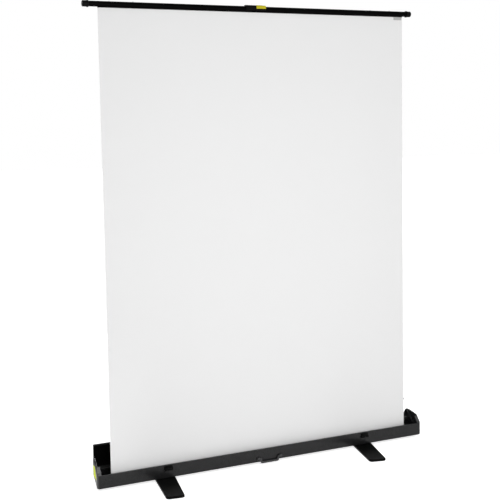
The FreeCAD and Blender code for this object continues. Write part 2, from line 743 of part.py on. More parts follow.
def carry_lugs():
    """Lugs on the fascia that the handle's trunnions turn in."""
    y = FRONT_Y - CARRY_STANDOFF
    top = CARRY_SPAN / 2 + SIDE_PLAY
    tip = y - CARRY_THICKNESS / 2 - CARRY_LUG_PROUD
    root = CARRY_LUG_HEIGHT / 2
    rise = root - CARRY_LUG_DRAFT
    lugs = []
    for a, b in ((-top - CARRY_LUG, -top), (top, top + CARRY_LUG)):
        lug = prism("yz", [
            (FRONT_Y + PANEL_CROWN, CARRY_PIVOT_Z - root, 0.0),
            (tip, CARRY_PIVOT_Z - rise, CARRY_LUG_ROUND),
            (tip, CARRY_PIVOT_Z + rise, CARRY_LUG_ROUND),
            (FRONT_Y + PANEL_CROWN, CARRY_PIVOT_Z + root, 0.0),
        ], CARRY_X + a, CARRY_X + b)
        bore = rod(CARRY_PIN_RADIUS + RUN, *carry_axis(CARRY_X - 2 * top, CARRY_X + 2 * top))
        lugs.append(lug.cut(front_panel()).cut(bore))
    return lugs


# Feet


def foot_outline_corners():
    mid = FOOT_WIDTH / 2
    tip = FOOT_TIP_WIDTH / 2
    end = FOOT_HALF_LENGTH
    return [
        (-tip, -end, FOOT_CORNER), (tip, -end, FOOT_CORNER), (mid, 0.0, FOOT_FLANK),
        (tip, end, FOOT_CORNER), (-tip, end, FOOT_CORNER), (-mid, 0.0, FOOT_FLANK),
    ]


def on_foot(shape, x, turn):
    """Set a piece drawn about the pivot onto its foot as the foot stands."""
    placed = shape.copy()
    placed.rotate(V(0, 0, 0), V(0, 0, 1), -turn)
    placed.translate(V(x, 0, 0))
    return placed


def foot():
    """Flat foot, waisted to its tips, rounded on top, hollowed for its pads and bolt."""
    plate = prism("xy", foot_outline_corners(), FOOT_BOTTOM_Z, FOOT_TOP_Z)
    upper = edges_at(plate, lambda b: b.ZMin > FOOT_TOP_Z - 0.01)
    plate = plate.makeFillet(FOOT_EDGE, upper)
    recess = rod(BOLT_HEAD_RADIUS + BOLT_RECESS_PLAY,
                 V(0, 0, FOOT_BOTTOM_Z - 1), V(0, 0, FOOT_BOTTOM_Z + BOLT_RECESS))
    bore = rod(BOLT_RADIUS + RUN, V(0, 0, 0), V(0, 0, FOOT_TOP_Z + 1))
    plate = plate.cut(recess).cut(bore)
    for side in (-1, 1):
        near = side * FOOT_HUB
        far = side * (FOOT_HALF_LENGTH - PAD_INSET - PAD_LENGTH)
        half = FOOT_TIP_WIDTH / 4
        pocket = prism("xy", [
            (-half, near, FOOT_HOLLOW_CORNER), (half, near, FOOT_HOLLOW_CORNER),
            (half, far, FOOT_HOLLOW_CORNER), (-half, far, FOOT_HOLLOW_CORNER),
        ], FOOT_BOTTOM_Z - 1, FOOT_BOTTOM_Z + FOOT_HOLLOW)
        plate = plate.cut(pocket)
    return plate


def foot_pads():
    pads = []
    for side in (-1, 1):
        y = side * (FOOT_HALF_LENGTH - PAD_INSET)
        pads.append(prism("xy", [
            (-PAD_WIDTH / 2, y - PAD_LENGTH / 2, PAD_CORNER), (PAD_WIDTH / 2, y - PAD_LENGTH / 2, PAD_CORNER),
            (PAD_WIDTH / 2, y + PAD_LENGTH / 2, PAD_CORNER), (-PAD_WIDTH / 2, y + PAD_LENGTH / 2, PAD_CORNER),
        ], 0.0, FOOT_BOTTOM_Z))
    return pads


def foot_bolt():
    seat = FOOT_BOTTOM_Z + BOLT_RECESS - BOLT_PLAY
    head = rod(BOLT_HEAD_RADIUS, V(0, 0, seat - BOLT_HEAD), V(0, 0, seat))
    shank = rod(BOLT_RADIUS, V(0, 0, seat), V(0, 0, FLOOR_TOP + NUT_HEIGHT + BOLT_PAST_NUT))
    return head.fuse(shank).removeSplitter()


def foot_washer():
    low = FOOT_TOP_Z + BOLT_PLAY
    return ring(WASHER_RADIUS, BOLT_RADIUS + RUN, V(0, 0, low), V(0, 0, CASE_FLOOR_Z))


def foot_nut():
    sides = 6
    corners = []
    for i in range(sides):
        angle = 2 * math.pi * i / sides
        corners.append((NUT_RADIUS * math.cos(angle), NUT_RADIUS * math.sin(angle), 0.0))
    nut = prism("xy", corners, FLOOR_TOP, FLOOR_TOP + NUT_HEIGHT)
    return nut.cut(rod(BOLT_RADIUS + RUN, V(0, 0, FLOOR_TOP - 1), V(0, 0, FLOOR_TOP + NUT_HEIGHT + 1)))


# Roller


def on_roller(x):
    return V(x, ROLLER_Y, ROLLER_Z)


def roller_tube():
    half = ROLLER_LENGTH / 2
    return ring(ROLLER_RADIUS, ROLLER_RADIUS - ROLLER_WALL, on_roller(-half), on_roller(half))


def fabric_wrap():
    half = SHEET_WIDTH / 2
    return ring(WRAP_RADIUS, ROLLER_RADIUS + RUN, on_roller(-half), on_roller(half))


def roller_plug():
    """Left end plug: spigot in the tube, flange outside, bored for the axle."""
    end = -ROLLER_LENGTH / 2
    spigot = rod(ROLLER_RADIUS - ROLLER_WALL - RUN, on_roller(end), on_roller(end + PLUG_LENGTH))
    flange = rod(ROLLER_RADIUS, on_roller(end - PLUG_FLANGE), on_roller(end))
    bore = rod(AXLE_RADIUS + RUN, on_roller(end - PLUG_FLANGE - 1), on_roller(end + PLUG_LENGTH + 1))
    return spigot.fuse(flange).cut(bore).removeSplitter()


def roller_bracket_x():
    return ROLLER_LENGTH / 2 + ROLLER_BRACKET_GAP


def roller_axle(length):
    """Axle fixed in the left bracket, reaching into the tube."""
    outer = -roller_bracket_x() - ROLLER_BRACKET
    return rod(AXLE_RADIUS, on_roller(outer), on_roller(outer + length))


def roller_bracket():
    """Left bracket: an upright with a round head on a foot flange."""
    outer = -roller_bracket_x() - ROLLER_BRACKET
    inner = outer + ROLLER_BRACKET
    half = ROLLER_BRACKET_WIDTH / 2
    upright = prism("yz", [
        (ROLLER_Y - half, FLOOR_TOP, 0.0), (ROLLER_Y + half, FLOOR_TOP, 0.0),
        (ROLLER_Y + half, ROLLER_Z + half, half * 0.8), (ROLLER_Y - half, ROLLER_Z + half, half * 0.8),
    ], outer, inner)
    flange = block(outer - ROLLER_BRACKET_FOOT, outer, ROLLER_Y - half, ROLLER_Y + half,
                   FLOOR_TOP, FLOOR_TOP + ROLLER_BRACKET)
    bore = rod(AXLE_RADIUS, on_roller(outer - 1), on_roller(inner + 1))
    return upright.fuse(flange).cut(bore).removeSplitter()


def clock_spring():
    """Rewind spring on the arbor inside the tube."""
    start = -ROLLER_LENGTH / 2 + PLUG_LENGTH + CLOCK_SPRING_START
    radius = AXLE_RADIUS + CLOCK_SPRING_WIRE + CLOCK_SPRING_PLAY
    spring = coil(V(0, 0, 0), radius, CLOCK_SPRING_WIRE, CLOCK_SPRING_TURNS, CLOCK_SPRING_PITCH)
    spring.rotate(V(0, 0, 0), V(0, 0, 1), -90)
    spring.translate(on_roller(start))
    return spring


# Sheet and top bar


def screen_sheet():
    """Flat sheet from the roller to the hem, its side edges drawn in a little."""
    half = SHEET_WIDTH / 2
    level = SHEET_Y - SHEET_THICKNESS / 2
    middle = (ROLLER_Z + SHEET_TOP_Z) / 2
    waist = half - SHEET_WAIST
    low_left = V(-half, level, ROLLER_Z)
    low_right = V(half, level, ROLLER_Z)
    top_left = V(-half, level, SHEET_TOP_Z)
    top_right = V(half, level, SHEET_TOP_Z)
    left = Part.Arc(low_left, V(-waist, level, middle), top_left)
    right = Part.Arc(top_right, V(waist, level, middle), low_right)
    top = Part.LineSegment(top_left, top_right)
    bottom = Part.LineSegment(low_right, low_left)
    wire = Part.Wire([left.toShape(), top.toShape(), right.toShape(), bottom.toShape()])
    return Part.Face(wire).extrude(V(0, SHEET_THICKNESS, 0))


def bar_ends():
    return MIDDLE_X - BAR_LENGTH / 2, MIDDLE_X + BAR_LENGTH / 2


def on_bar(x):
    return V(x, SHEET_Y, BAR_Z)


def top_bar():
    """Round tube with a slot along its underside for the hem."""
    start, end = bar_ends()
    tube = ring(BAR_RADIUS, BAR_RADIUS - BAR_WALL, on_bar(start), on_bar(end))
    slot = block(start - 1, end + 1, SHEET_Y - BAR_SLOT / 2, SHEET_Y + BAR_SLOT / 2,
                 BAR_Z - BAR_RADIUS - 1, BAR_Z)
    return tube.cut(slot)


def hem_strip():
    """Clamp strip: a rail under the bar, a neck through the slot and a bead inside."""
    half = SHEET_WIDTH / 2
    low = SHEET_TOP_Z
    shoulder = BAR_Z - BAR_RADIUS - RUN
    neck = BAR_SLOT / 2 - RUN
    bead_low = BAR_Z - BAR_RADIUS + BAR_WALL + HEM_BEAD_PLAY
    bead_z = bead_low + HEM_BEAD_RADIUS
    rail = prism("yz", [
        (SHEET_Y - HEM_WIDTH / 2, low, HEM_ROUND), (SHEET_Y + HEM_WIDTH / 2, low, HEM_ROUND),
        (SHEET_Y + HEM_WIDTH / 2, shoulder, 0.0), (SHEET_Y - HEM_WIDTH / 2, shoulder, 0.0),
    ], -half, half)
    web = block(-half, half, SHEET_Y - neck, SHEET_Y + neck, low + 1, bead_z)
    bead = rod(HEM_BEAD_RADIUS, V(-half, SHEET_Y, bead_z), V(half, SHEET_Y, bead_z))
    return rail.fuse([web, bead]).removeSplitter()


def bar_end_cap():
    """Left end of the bar: spigot, collar and domed cap, turned as one piece."""
    start = bar_ends()[0]
    collar = start - BAR_COLLAR_WIDTH
    tip = collar - BAR_CAP_LENGTH
    bore = BAR_RADIUS - BAR_WALL - RUN
    r = BAR_CAP_ROUND
    inside = start + BAR_SPIGOT
    profile = [
        V(inside, 0, 0), V(inside, 0, bore), V(start, 0, bore), V(start, 0, BAR_COLLAR_RADIUS),
        V(collar, 0, BAR_COLLAR_RADIUS), V(collar, 0, BAR_CAP_RADIUS), V(tip + r, 0, BAR_CAP_RADIUS),
    ]
    edges = [Part.LineSegment(a, b).toShape() for a, b in zip(profile, profile[1:])]
    bend = r * (1 - 1 / math.sqrt(2))
    rim = V(tip, 0, BAR_CAP_RADIUS - r)
    edges.append(Part.Arc(profile[-1], V(tip + bend, 0, BAR_CAP_RADIUS - bend), rim).toShape())
    edges.append(Part.LineSegment(rim, V(tip, 0, 0)).toShape())
    edges.append(Part.LineSegment(V(tip, 0, 0), profile[0]).toShape())
    cap = Part.Face(Part.Wire(edges)).revolve(V(0, 0, 0), V(1, 0, 0), 360)
    cap.translate(V(0, SHEET_Y, BAR_Z))
    slot = block(start - 0.5, inside + 1.0, SHEET_Y - BAR_SLOT / 2, SHEET_Y + BAR_SLOT / 2,
                 BAR_Z - BAR_RADIUS, BAR_Z - BAR_RADIUS / 2)
    return cap.cut(slot)


def other_bar_end(shape):
    return shape.mirror(V(MIDDLE_X, 0, 0), V(1, 0, 0))


def lift_handle():
    """Grip saddled on the bar: a stepped end, finger dips and a long sloping end."""
    start = MIDDLE_X + GRIP_SHIFT - GRIP_LENGTH / 2
    end = start + GRIP_LENGTH
    outer = BAR_RADIUS + GRIP_SKIN
    top = BAR_Z + BAR_RADIUS + GRIP_RISE
    low = BAR_Z - GRIP_SKIRT
    body = prism("yz", [
        (SHEET_Y - outer, low, GRIP_SKIRT_ROUND), (SHEET_Y + outer, low, GRIP_SKIRT_ROUND),
        (SHEET_Y + outer, top, GRIP_ROUND), (SHEET_Y - outer, top, GRIP_ROUND),
    ], start, end)
    thin = top - GRIP_RISE - GRIP_SKIN
    ramp = prism("xz", [
        (end - GRIP_SLOPE, top, 0.0), (end, thin, 0.0), (end + 1, thin, 0.0),
        (end + 1, top + 1, 0.0), (end - GRIP_SLOPE, top + 1, 0.0),
    ], SHEET_Y - 2 * outer, SHEET_Y + 2 * outer)
    body = body.cut(ramp)
    pitch = 2 * GRIP_FINGER_RADIUS - GRIP_FINGER_OVERLAP
    for i in range(GRIP_FINGER_COUNT):
        x = start + GRIP_FINGER_START + i * pitch
        z = top + GRIP_FINGER_RADIUS - GRIP_FINGER_DEPTH
        body = body.cut(rod(GRIP_FINGER_RADIUS, V(x, SHEET_Y - 2 * outer, z), V(x, SHEET_Y + 2 * outer, z)))
    return body.cut(rod(BAR_RADIUS + RUN, on_bar(start - 1), on_bar(end + 1)))


# Folding frame


def arm_tube():
    """Flat aluminium tube between its two end fittings, lying along +X from its pivot."""
    start = ARM_PLUG
    end = ARM_REACH - ARM_PLUG
    half = ARM_WIDTH / 2
    t = ARM_THICKNESS / 2

    def section(inset, level):
        a = t - inset
        b = half - inset
        r = ARM_ROUND - inset
        return prism("yz", [(-a, -b, r), (a, -b, r), (a, b, r), (-a, b, r)], start - level, end + level)

    return section(0.0, 0.0).cut(section(ARM_WALL, 1.0))


def arm_ends():
    """Moulded eye with a plug that sits in the tube, one at each end."""
    half = ARM_WIDTH / 2
    t = ARM_THICKNESS / 2
    fit = ARM_WALL + RUN
    eye = rod(half, V(0, -t, 0), V(0, t, 0))
    neck = block(0.0, ARM_PLUG, -t, t, -half, half)
    waist = rod(half * 0.9, V(ARM_PLUG * 0.62, -t - 1, half * 1.72), V(ARM_PLUG * 0.62, t + 1, half * 1.72))
    under = rod(half * 0.9, V(ARM_PLUG * 0.62, -t - 1, -half * 1.72), V(ARM_PLUG * 0.62, t + 1, -half * 1.72))
    wide = half - fit - ARM_PLUG_PLAY
    plug = block(ARM_PLUG, ARM_PLUG + ARM_END_LENGTH, -t + fit, t - fit, -wide, wide)
    end = eye.fuse([neck, plug]).cut(waist).cut(under)
    end = end.cut(rod(PIN_RADIUS + RUN, V(0, -t - 1, 0), V(0, t + 1, 0))).removeSplitter()
    far = end.mirror(V(ARM_REACH / 2, 0, 0), V(1, 0, 0))
    return [end, far]


def set_arm(shape, x, y, z, angle):
    """Raise a piece of an arm about its pivot and carry it to its place."""
    placed = shape.copy()
    placed.rotate(V(0, 0, 0), V(0, 1, 0), -angle)
    placed.translate(V(x, y, z))
    return placed


def elbow():
    return PIVOT_X + ELBOW_RUN, BASE_PIVOT_Z + ARM_RISE


def set_lower(shape):
    return set_arm(shape, PIVOT_X, LOWER_Y, BASE_PIVOT_Z, ARM_ANGLE)


def set_upper(shape):
    x, z = elbow()
    return set_arm(shape, x, UPPER_Y, z, 180.0 - ARM_ANGLE)


def elbow_pin():
    """Rivet through both arms, its thin tail turned over behind the upper arm."""
    x, z = elbow()
    front = LOWER_Y - ARM_THICKNESS / 2
    rear = UPPER_Y + ARM_THICKNESS / 2 + SIDE_PLAY
    shank = rod(PIN_RADIUS, V(x, front - PIN_HEAD, z), V(x, rear + RIVET_TAIL, z))
    head = rod(PIN_HEAD_RADIUS, V(x, front - PIN_HEAD, z), V(x, front, z))
    tail = rod(PIN_HEAD_RADIUS * 0.8, V(x, rear, z), V(x, rear + RIVET_TAIL, z))
    return shank.fuse([head, tail]).removeSplitter()


def elbow_washer():
    x, z = elbow()
    low = LOWER_Y + ARM_THICKNESS / 2
    high = UPPER_Y - ARM_THICKNESS / 2 - SIDE_PLAY
    return ring(ARM_WIDTH / 2 - ELBOW_WASHER_IN, PIN_RADIUS + RUN, V(x, low, z), V(x, high, z))


def cheek_plate(x, z, y0, foot_z):
    """Upright plate with a round head about a pivot, down or up to foot_z."""
    r = CHEEK_RADIUS
    head = rod(r, V(x, y0, z), V(x, y0 + CHEEK, z))
    low = min(z, foot_z)
    high = max(z, foot_z)
    return head.fuse(block(x - r, x + r, y0, y0 + CHEEK, low, high))


def spring_room():
    """Depth along the lower pivot that the lift spring takes."""
    return SPRING_TURNS * SPRING_PITCH + 2 * SPRING_WIRE + 2 * SIDE_PLAY


def base_cheeks():
    """Front and rear cheek of the left base bracket."""
    front = LOWER_Y - ARM_THICKNESS / 2 - SIDE_PLAY - CHEEK
    rear = LOWER_Y + ARM_THICKNESS / 2 + SIDE_PLAY + spring_room()
    return front, rear


def base_bracket():
    """Left base bracket: a plate on the floor with two cheeks for the lower pivot."""
    front, rear = base_cheeks()
    low = FLOOR_TOP
    left = PIVOT_X - BASE_PLATE_HALF
    right = PIVOT_X + BASE_PLATE_HALF
    round_off = BASE_PLATE_CORNER
    plate = prism("xy", [
        (left, front, round_off), (right, front, round_off),
        (right, rear + CHEEK, round_off), (left, rear + CHEEK, round_off),
    ], low, low + BASE_PLATE)
    cheeks = [cheek_plate(PIVOT_X, BASE_PIVOT_Z, y, low) for y in (front, rear)]
    bracket = plate.fuse(cheeks)
    bore = rod(PIN_RADIUS + RUN, V(PIVOT_X, front - 1, BASE_PIVOT_Z),
               V(PIVOT_X, rear + CHEEK + 1, BASE_PIVOT_Z))
    return bracket.cut(bore).removeSplitter()


def headed_pin(x, z, y0, y1):
    """Pivot pin through a bracket, with a head outside each cheek."""
    radius = PIN_HEAD_RADIUS * 0.8
    shank = rod(PIN_RADIUS, V(x, y0 - PIN_HEAD, z), V(x, y1 + PIN_HEAD, z))
    heads = [rod(radius, V(x, y, z), V(x, y + PIN_HEAD, z)) for y in (y0 - PIN_HEAD, y1)]
    return shank.fuse(heads).removeSplitter()


def base_pin():
    front, rear = base_cheeks()
    return headed_pin(PIVOT_X, BASE_PIVOT_Z, front, rear + CHEEK)


def lift_bush():
    """Bush that carries the lift spring on the lower pivot, moulded against the arm."""
    low = LOWER_Y + ARM_THICKNESS / 2
    high = base_cheeks()[1] - SIDE_PLAY
    return ring(SPRING_BUSH, PIN_RADIUS + RUN, V(PIVOT_X, low, BASE_PIVOT_Z), V(PIVOT_X, high, BASE_PIVOT_Z))


def lift_spring():
    start = LOWER_Y + ARM_THICKNESS / 2 + SPRING_WIRE + SIDE_PLAY
    return coil(V(PIVOT_X, start, BASE_PIVOT_Z), SPRING_RADIUS, SPRING_WIRE, SPRING_TURNS, SPRING_PITCH)


def bar_bracket(x, arm_y):
    """Saddle behind the bar with two cheeks that hang down to the upper pivot."""
    near = arm_y - ARM_THICKNESS / 2 - SIDE_PLAY - CHEEK
    far = arm_y + ARM_THICKNESS / 2 + SIDE_PLAY
    half = SADDLE_LENGTH / 2
    start = SHEET_Y + SADDLE_START
    lip = SHEET_Y + BAR_RADIUS + SADDLE_LIP
    body = prism("xy", [
        (x - half, start, 0.0), (x + half, start, 0.0), (x + half, lip, SADDLE_LIP_ROUND),
        (x + 2 * CHEEK_RADIUS, far + CHEEK, SADDLE_ROUND), (x - 2 * CHEEK_RADIUS, far + CHEEK, SADDLE_ROUND),
        (x - half, lip, SADDLE_LIP_ROUND),
    ], BAR_Z - SADDLE_HALF_HEIGHT, BAR_Z + SADDLE_HALF_HEIGHT)
    body = body.cut(rod(BAR_RADIUS + RUN, on_bar(x - half - 1), on_bar(x + half + 1)))
    cheeks = [cheek_plate(x, BAR_PIVOT_Z, y, BAR_Z) for y in (near, far)]
    bore = rod(PIN_RADIUS + RUN, V(x, near - 1, BAR_PIVOT_Z), V(x, far + CHEEK + 1, BAR_PIVOT_Z))
    return body.fuse(cheeks).cut(bore).removeSplitter()


def bar_pin(x, arm_y):
    reach = ARM_THICKNESS / 2 + SIDE_PLAY + CHEEK
    return headed_pin(x, BAR_PIVOT_Z, arm_y - reach, arm_y + reach)


def bar_screws():
    """Dome-headed screws along the top of the bar, two over each bracket."""
    screws = []
    for side in (-1, 1):
        for step in (-1, 1):
            x = MIDDLE_X + side * PIVOT_SPREAD + step * SADDLE_SCREW_SPREAD
            base = BAR_Z + BAR_RADIUS - SADDLE_SCREW_SINK
            head = rod(SADDLE_SCREW_RADIUS, V(x, SHEET_Y, base), V(x, SHEET_Y, base + SADDLE_SCREW_HEAD))
            rim = edges_at(head, lambda b: b.ZMin > base + SADDLE_SCREW_HEAD - 0.01)
            head = head.makeFillet(SADDLE_SCREW_ROUND, rim)
            screws.append(head.cut(rod(BAR_RADIUS + RUN, on_bar(x - 10), on_bar(x + 10))))
    return screws


def save(name, shapes):
    group = shapes if isinstance(shapes, list) else [shapes]
    Part.makeCompound(group).exportStep("parts/" + name + ".step")
    for shape in group:
        assert shape.isValid() and len(shape.Solids) == 1, name


def main():
    os.makedirs("parts", exist_ok=True)

    save("base_tray", base_tray())
    save("front_panel", front_panel())
    cap = end_cap()
    save("end_cap_left", cap)
    save("end_cap_right", mirrored(cap))
    save("end_cap_screws", end_cap_screws())

    save("lid", lid())
    save("lid_keepers", lid_keepers())
    spans = hinge_spans()
    save("lid_hinge_case_leaf", hinge_leaf(spans[0::2]))
    save("lid_hinge_lid_leaf", lid_leaf(spans[1::2]))
    save("lid_hinge_pin", rod(HINGE_PIN_RADIUS, *hinge_axis(-HINGE_LENGTH / 2, HINGE_LENGTH / 2)))

    save("latch_mounts", [latch_mount(-LATCH_X), latch_mount(LATCH_X)])
    pin_half = LATCH_WIDTH / 2 + LATCH_EAR
    save("latch_pins", [rod(LATCH_PIN_RADIUS, *latch_axis(x, pin_half)) for x in (-LATCH_X, LATCH_X)])
    save("latch_flap_left", latch_flap(-LATCH_X))
    save("latch_flap_right", latch_flap(LATCH_X))

    save("carry_handle", carry_handle())
    save("carry_handle_lugs", carry_lugs())

    for side, x, turn in (("left", -FOOT_X, FOOT_ANGLE_LEFT), ("right", FOOT_X, FOOT_ANGLE_RIGHT)):
        save("foot_" + side, on_foot(foot(), x, turn))
        save("foot_pads_" + side, [on_foot(pad, x, turn) for pad in foot_pads()])
    for name, make in (("foot_bolts", foot_bolt), ("foot_washers", foot_washer), ("foot_nuts", foot_nut)):
        save(name, [make().translated(V(x, 0, 0)) for x in (-FOOT_X, FOOT_X)])

    save("roller_tube", roller_tube())
    save("fabric_wrap", fabric_wrap())
    save("roller_plugs", [roller_plug(), mirrored(roller_plug())])
    save("roller_arbor", roller_axle(ARBOR_LENGTH))
    save("roller_idler_pin", mirrored(roller_axle(IDLER_LENGTH)))
    save("roller_spring", clock_spring())
    save("roller_brackets", [roller_bracket(), mirrored(roller_bracket())])

    save("screen_sheet", screen_sheet())
    save("hem_strip", hem_strip())
    save("top_bar", top_bar())
    save("bar_end_left", bar_end_cap())
    save("bar_end_right", other_bar_end(bar_end_cap()))
    save("lift_handle", lift_handle())

    pivots = ((PIVOT_X, UPPER_Y), (MIDDLE_X + PIVOT_SPREAD, 2 * ARM_STACK_Y - UPPER_Y))
    for side, place in zip(("left", "right"), pivots):
        save("bar_bracket_" + side, bar_bracket(*place))
    save("bar_pivot_pins", [bar_pin(*place) for place in pivots])
    save("bar_bracket_screws", bar_screws())

    save("base_pivot_pins", [base_pin(), turned_half(base_pin())])
    lower_tube = set_lower(arm_tube())
    lower_ends = [set_lower(end) for end in arm_ends()]
    upper_tube = set_upper(arm_tube())
    upper_ends = [set_upper(end) for end in arm_ends()]
    for side, turn in (("left", lambda shape: shape), ("right", turned_half)):
        save("lower_arm_" + side, turn(lower_tube))
        save("lower_arm_ends_" + side, [turn(end) for end in lower_ends])
        save("upper_arm_" + side, turn(upper_tube))
        save("upper_arm_ends_" + side, [turn(end) for end in upper_ends])
        save("elbow_pin_" + side, turn(elbow_pin()))
        save("elbow_washer_" + side, turn(elbow_washer()))
        save("base_bracket_" + side, turn(base_bracket()))
        save("lift_bush_" + side, turn(lift_bush()))
        save("lift_spring_" + side, turn(lift_spring()))

    print("arm angle", round(ARM_ANGLE, 3))
    print("stowed bar centre z", round(STOWED_BAR_Z, 2))
    stowed_rise = (STOWED_BAR_Z - BAR_PIVOT_DROP - BASE_PIVOT_Z) / 2
    print("fold travel", round(ARM_ANGLE - math.degrees(math.asin(stowed_rise / ARM_REACH)), 3))
    print("elbow x", round(elbow()[0], 2), "roller y", round(ROLLER_Y, 3), "hinge", LID_HINGE_Y, LID_HINGE_Z)


main()
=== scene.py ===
import json
import math

import bmesh
import bpy
from mathutils import Matrix, Vector


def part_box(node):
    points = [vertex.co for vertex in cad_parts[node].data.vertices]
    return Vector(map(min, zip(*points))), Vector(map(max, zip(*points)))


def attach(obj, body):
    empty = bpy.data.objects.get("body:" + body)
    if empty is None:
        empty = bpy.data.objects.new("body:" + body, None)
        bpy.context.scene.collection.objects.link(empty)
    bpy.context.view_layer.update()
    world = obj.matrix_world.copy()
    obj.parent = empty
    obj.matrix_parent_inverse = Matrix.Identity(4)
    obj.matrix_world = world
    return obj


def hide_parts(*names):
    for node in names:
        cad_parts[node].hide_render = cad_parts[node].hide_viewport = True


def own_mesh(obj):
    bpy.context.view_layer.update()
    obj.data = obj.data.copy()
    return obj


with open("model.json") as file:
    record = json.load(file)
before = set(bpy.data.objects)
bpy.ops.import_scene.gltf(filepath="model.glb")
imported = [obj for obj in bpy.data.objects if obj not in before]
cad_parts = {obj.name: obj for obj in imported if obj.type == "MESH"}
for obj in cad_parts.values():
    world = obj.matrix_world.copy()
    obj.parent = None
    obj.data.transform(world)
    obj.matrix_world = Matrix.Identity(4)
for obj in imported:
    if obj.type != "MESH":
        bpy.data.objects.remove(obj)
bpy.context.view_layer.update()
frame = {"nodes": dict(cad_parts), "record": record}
nodes = frame["nodes"]

# Sheet
SHEET_Y = -0.011
SHEET_LOW = 0.040
SHEET_TOP = 2.065
SHEET_HALF = 0.750
SHEET_THICK = 0.0006
SHEET_COLUMNS = 60
SHEET_ROWS = 80
SHEET_WAIST = 0.001
SLACK_DEPTH = 0.0012
SLACK_SPREAD = 0.5

# Patch on the lift handle
GRIP_ROUND = 0.008
GRIP_SLOPE = 0.022
GRIP_SLOPE_DROP = 0.0067
GRIP_PATCH_LENGTH = 0.046
GRIP_PATCH_INSET = 0.003
GRIP_PATCH_RISE = 0.007
GRIP_PATCH_WRAP = math.radians(80)
GRIP_PATCH_STEPS = 8
GRIP_PATCH_OUT = 0.0004
GRIP_PATCH_THICK = 0.0006
GRIP_PATCH_EDGE = 0.0002
GRIP_PATCH_LIFT = 0.0003

# Patch on the outer face of the left end cap
CAP_PATCH_OUT = 0.0004
CAP_PATCH_IN = 0.0003
CAP_PATCH_FRONT_Y = -0.036
CAP_PATCH_REAR_Y = 0.013
CAP_PATCH_LOW = 0.050
CAP_PATCH_HIGH = 0.103
CAP_PATCH_FRONT_CORNER = (0, CAP_PATCH_FRONT_Y, CAP_PATCH_LOW)
CAP_PATCH_REAR_CORNER = (0, 0.005, 0.056)
CAP_PATCH_CUTS = (
    (CAP_PATCH_FRONT_CORNER, (0, -52, 21)),
    (CAP_PATCH_REAR_CORNER, (0, 47, -8)),
    (CAP_PATCH_FRONT_CORNER, (0, 6, -41)),
)

# Grey strip on the top right corner of the sheet
STRIP_LEFT_X = 0.702
STRIP_RIGHT_X = 0.747
STRIP_LOW = 2.0505
STRIP_HIGH = 2.0640
STRIP_FRONT = 0.0015
STRIP_BACK = 0.0008

# Covers on the sloping undersides of the end caps
COVER_FRONT_Y = 0.0109
COVER_REAR_Y = 0.0396
COVER_LOW = 0.0205
COVER_HIGH = 0.0485
COVER_SLANT_AT = (0, 0.0125, 0.0314)
COVER_SLANT_OUT = (0, -0.589, 0.808)
COVER_THICK = 0.0012
SLOPE_START_Y = -0.047
SLOPE_RUN = 0.096
SLOPE_START_Z = 0.0125
SLOPE_RISE = 0.070
SLOPE_DEPTH = 0.019

PATCH_EDGE = 0.0003
SAME_PLACE = 1e-5
SMOOTH_BELOW = math.radians(40)

# Finishes
GRAIN_DETAIL = 3.0
GRAIN_DEPTH = 0.0002
HANDLING_SCALE = 7.0
HANDLING_DETAIL = 5.0
HANDLING_SHARE = 0.45
TINT_FROM = 0.35
TINT_TO = 0.65
GLOSS_FROM = 0.3
GLOSS_TO = 0.7
GLOSS_LOW = 0.85
GLOSS_HIGH = 1.15
THREAD_SCALE = 260.0
THREAD_BUMP = 0.08
THREAD_DEPTH = 0.0001
WHITENESS_SCALE = 1.4
WHITENESS_LOW = 0.985
CLOTH_ROUGH = 0.9
CLOTH_SPEC = 0.15
# painted light: a lighter base colour for the lid's faces that look backwards
LID_BACK_PAINTED_LIGHT = 0.012
LID_INNER_ROUGH = 0.9
LOOKS_BACK = 0.2
ARM_LEAN = math.radians(56.65)
ARM_COLOR = (0.40, 0.41, 0.43)

# Camera, fitted to the photograph
CAMERA_AT = Vector((-1.855, -4.043, 1.576))
CAMERA_YAW = math.radians(23.96)
CAMERA_PITCH = math.radians(4.6)
CAMERA_ROLL = math.radians(0.98)
CAMERA_LENS = 70.13
CAMERA_SENSOR = 36.0
CAMERA_SHIFT_X = -0.001
CAMERA_SHIFT_Y = -0.0995

# Studio
FLOOR_SIZE = 60
FLOOR_SHADE = 0.92
FLOOR_ROUGH = 0.9
FLOOR_GLOW = 0.72
ROOM_FILL = 0.56
BACKDROP_WHITE = 1.0
WHITE = (1, 1, 1, 1)
LAMPS = (
    # name, place, aim, size, power
    ("key", (-0.1, -3.0, 1.3), (0.0, 0, 0.8), 2.0, 40.5),
    ("side", (2.3, -0.9, 2.1), (0.8, 0, 0.1), 0.7, 1.5),
    ("back", (0.2, 3.0, 1.1), (0.0, 0, 0.8), 2.0, 24),
)
BEAM_AT = (-0.3, -0.75, 2.0)
BEAM_AIM = (-0.815, -0.03, 0.1)
BEAM_POWER = 25
BEAM_RADIUS = 0.12
BEAM_ANGLE = math.radians(10)
BEAM_BLEND = 0.6


# Materials


def new_material(name):
    mat = bpy.data.materials.new(name)
    mat.use_nodes = True
    tree = mat.node_tree
    return mat, tree, tree.nodes["Principled BSDF"]


